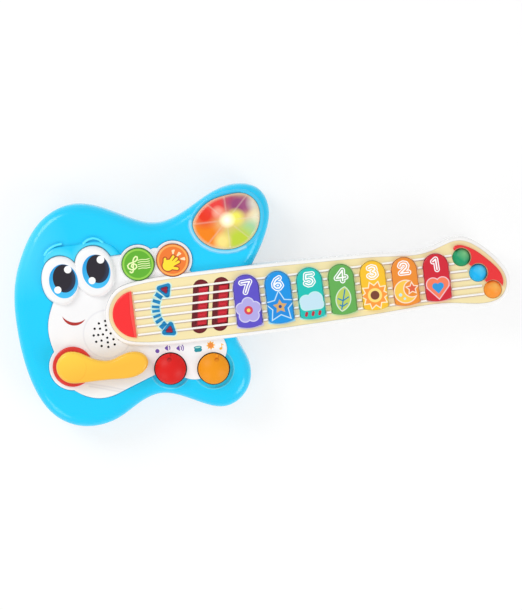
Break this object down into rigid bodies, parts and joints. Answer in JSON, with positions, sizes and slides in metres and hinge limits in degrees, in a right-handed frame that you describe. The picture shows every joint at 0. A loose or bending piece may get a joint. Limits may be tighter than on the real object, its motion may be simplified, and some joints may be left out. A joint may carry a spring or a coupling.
{
  "type": "toy electric guitar",
  "caption": "Toy electric guitar with a horned blue body, white face panel, piano-like keys on the neck, strum bar, knobs, whammy lever, light lens and spinning beads.",
  "frame": {"origin": "middle of the footprint, on the surface that the toy lies on", "axes": "+X along the neck towards the headstock, +Y across the neck towards the lens, +Z out of the face"},
  "size_m": [0.4068, 0.1842, 0.0478],
  "materials": {
    "blue_shell": "glossy moulded plastic",
    "white_plastic": "glossy moulded plastic",
    "cream_plate": "satin moulded plastic",
    "red_plastic": "glossy moulded plastic",
    "dark_red_plastic": "satin moulded plastic",
    "yellow_plastic": "glossy moulded plastic",
    "orange_knob": "glossy moulded plastic",
    "string_white": "satin moulded ribs",
    "green_button": "satin moulded plastic with print",
    "orange_button": "satin moulded plastic with print",
    "bead_green": "glossy moulded plastic",
    "bead_blue": "glossy moulded plastic",
    "bead_orange": "glossy moulded plastic",
    "lens_clear": "tinted clear plastic",
    "reflector_white": "bright white plastic",
    "circuit_board": "solder-masked board",
    "black_plastic": "matte plastic",
    "silicone": "translucent silicone rubber",
    "steel": "bright zinc plate",
    "magnet": "dull plated magnet",
    "paper_cone": "pressed paper",
    "cell_jacket": "shrink-wrapped cell",
    "wire_jacket": "soft wire insulation",
    "led_clear": "clear lamp body",
    "key_1_plastic": "satin moulded plastic with print",
    "key_2_plastic": "satin moulded plastic with print",
    "key_3_plastic": "satin moulded plastic with print",
    "key_4_plastic": "satin moulded plastic with print",
    "key_5_plastic": "satin moulded plastic with print",
    "key_6_plastic": "satin moulded plastic with print",
    "key_7_plastic": "satin moulded plastic with print"
  },
  "bodies": {
    "casing": {"battery_cells": "cell_jacket", "battery_contacts": "steel", "bead_pins": "steel", "board_screws": "steel", "body_back_shell": "blue_shell", "body_front_shell": "blue_shell", "body_screws": "steel", "bridge_cap": "red_plastic", "button_board": "circuit_board", "button_domes": "silicone", "control_board": "circuit_board", "face_panel": "white_plastic", "fretboard": "cream_plate", "headstock_cap": "red_plastic", "key_board": "circuit_board", "key_domes": "silicone", "key_ribbon": "silicone", "light_board": "circuit_board", "light_leds": "led_clear", "light_lens": "lens_clear", "light_reflector": "reflector_white", "main_board": "circuit_board", "main_board_parts": "black_plastic", "mode_switch": "black_plastic", "neck_back_housing": "white_plastic", "neck_front_housing": "white_plastic", "neck_screws": "steel", "speaker_cone": "paper_cone", "speaker_frame": "black_plastic", "speaker_magnet": "magnet", "speaker_screws": "steel", "string_set": "string_white", "strum_springs": "steel", "strum_tray": "black_plastic", "volume_switch": "black_plastic", "whammy_base_ring": "red_plastic", "whammy_spring": "steel", "wiring_harness": "wire_jacket"},
    "key_1": {"key_1": "key_1_plastic"},
    "key_2": {"key_2": "key_2_plastic"},
    "key_3": {"key_3": "key_3_plastic"},
    "key_4": {"key_4": "key_4_plastic"},
    "key_5": {"key_5": "key_5_plastic"},
    "key_6": {"key_6": "key_6_plastic"},
    "key_7": {"key_7": "key_7_plastic"},
    "melody_button": {"melody_button": "green_button"},
    "clap_button": {"clap_button": "orange_button"},
    "volume_knob": {"volume_knob": "red_plastic"},
    "mode_knob": {"mode_knob": "orange_knob"},
    "whammy": {"whammy_lever": "yellow_plastic", "whammy_clip": "black_plastic"},
    "strum_slider": {"strum_slider": "dark_red_plastic"},
    "bead_green": {"bead_green": "bead_green"},
    "bead_blue": {"bead_blue": "bead_blue"},
    "bead_orange": {"bead_orange": "bead_orange"},
    "battery_door": {"battery_door": "blue_shell", "door_screws": "steel"}
  },
  "joints": [
    {"name": "key_1_press", "type": "slide", "parent": "casing", "child": "key_1", "axis": [0, 0, -1], "range_m": [0, 0.0015], "stiffness_N_per_m": 300, "springref_m": -0.0012, "deforming": ["key_domes"]},
    {"name": "key_2_press", "type": "slide", "parent": "casing", "child": "key_2", "axis": [0, 0, -1], "range_m": [0, 0.0015], "stiffness_N_per_m": 300, "springref_m": -0.0012, "deforming": ["key_domes"]},
    {"name": "key_3_press", "type": "slide", "parent": "casing", "child": "key_3", "axis": [0, 0, -1], "range_m": [0, 0.0015], "stiffness_N_per_m": 300, "springref_m": -0.0012, "deforming": ["key_domes"]},
    {"name": "key_4_press", "type": "slide", "parent": "casing", "child": "key_4", "axis": [0, 0, -1], "range_m": [0, 0.0015], "stiffness_N_per_m": 300, "springref_m": -0.0012, "deforming": ["key_domes"]},
    {"name": "key_5_press", "type": "slide", "parent": "casing", "child": "key_5", "axis": [0, 0, -1], "range_m": [0, 0.0015], "stiffness_N_per_m": 300, "springref_m": -0.0012, "deforming": ["key_domes"]},
    {"name": "key_6_press", "type": "slide", "parent": "casing", "child": "key_6", "axis": [0, 0, -1], "range_m": [0, 0.0015], "stiffness_N_per_m": 300, "springref_m": -0.0012, "deforming": ["key_domes"]},
    {"name": "key_7_press", "type": "slide", "parent": "casing", "child": "key_7", "axis": [0, 0, -1], "range_m": [0, 0.0015], "stiffness_N_per_m": 300, "springref_m": -0.0012, "deforming": ["key_domes"]},
    {"name": "melody_button_press", "type": "slide", "parent": "casing", "child": "melody_button", "axis": [0, 0, -1], "range_m": [0, 0.0015], "stiffness_N_per_m": 300, "springref_m": -0.0012, "deforming": ["button_domes"]},
    {"name": "clap_button_press", "type": "slide", "parent": "casing", "child": "clap_button", "axis": [0, 0, -1], "range_m": [0, 0.0015], "stiffness_N_per_m": 300, "springref_m": -0.0012, "deforming": ["button_domes"]},
    {"name": "volume_turn", "type": "hinge", "parent": "casing", "child": "volume_knob", "pos_m": [-0.08146, -0.05168, 0.04], "axis": [0, 0, 1], "range_deg": [-31, 31]},
    {"name": "mode_turn", "type": "hinge", "parent": "casing", "child": "mode_knob", "pos_m": [-0.04637, -0.05578, 0.04], "axis": [0, 0, 1], "range_deg": [0, 54]},
    {"name": "whammy_swing", "type": "hinge", "parent": "casing", "child": "whammy", "pos_m": [-0.16087, -0.04048, 0.04], "axis": [0, 0, 1], "range_deg": [-13, 1.5], "stiffness_Nm_per_rad": 0.08, "deforming": ["whammy_spring"]},
    {"name": "strum_slide", "type": "slide", "parent": "casing", "child": "strum_slider", "axis": [0, 1, 0], "range_m": [-0.001, 0.001], "stiffness_N_per_m": 500, "deforming": ["strum_springs"]},
    {"name": "bead_green_spin", "type": "hinge", "parent": "casing", "child": "bead_green", "pos_m": [0.16584, 0.01122, 0.0372], "axis": [0.6517, -0.7585, 0], "continuous": true},
    {"name": "bead_blue_spin", "type": "hinge", "parent": "casing", "child": "bead_blue", "pos_m": [0.17803, -0.00298, 0.0372], "axis": [0.6121, -0.7908, 0], "continuous": true},
    {"name": "bead_orange_spin", "type": "hinge", "parent": "casing", "child": "bead_orange", "pos_m": [0.18843, -0.01798, 0.0372], "axis": [0.5698, -0.8218, 0], "continuous": true},
    {"name": "battery_door_lift", "type": "slide", "parent": "casing", "child": "battery_door", "axis": [0, 0, -1], "range_m": [0, 0.015]}
  ]
}
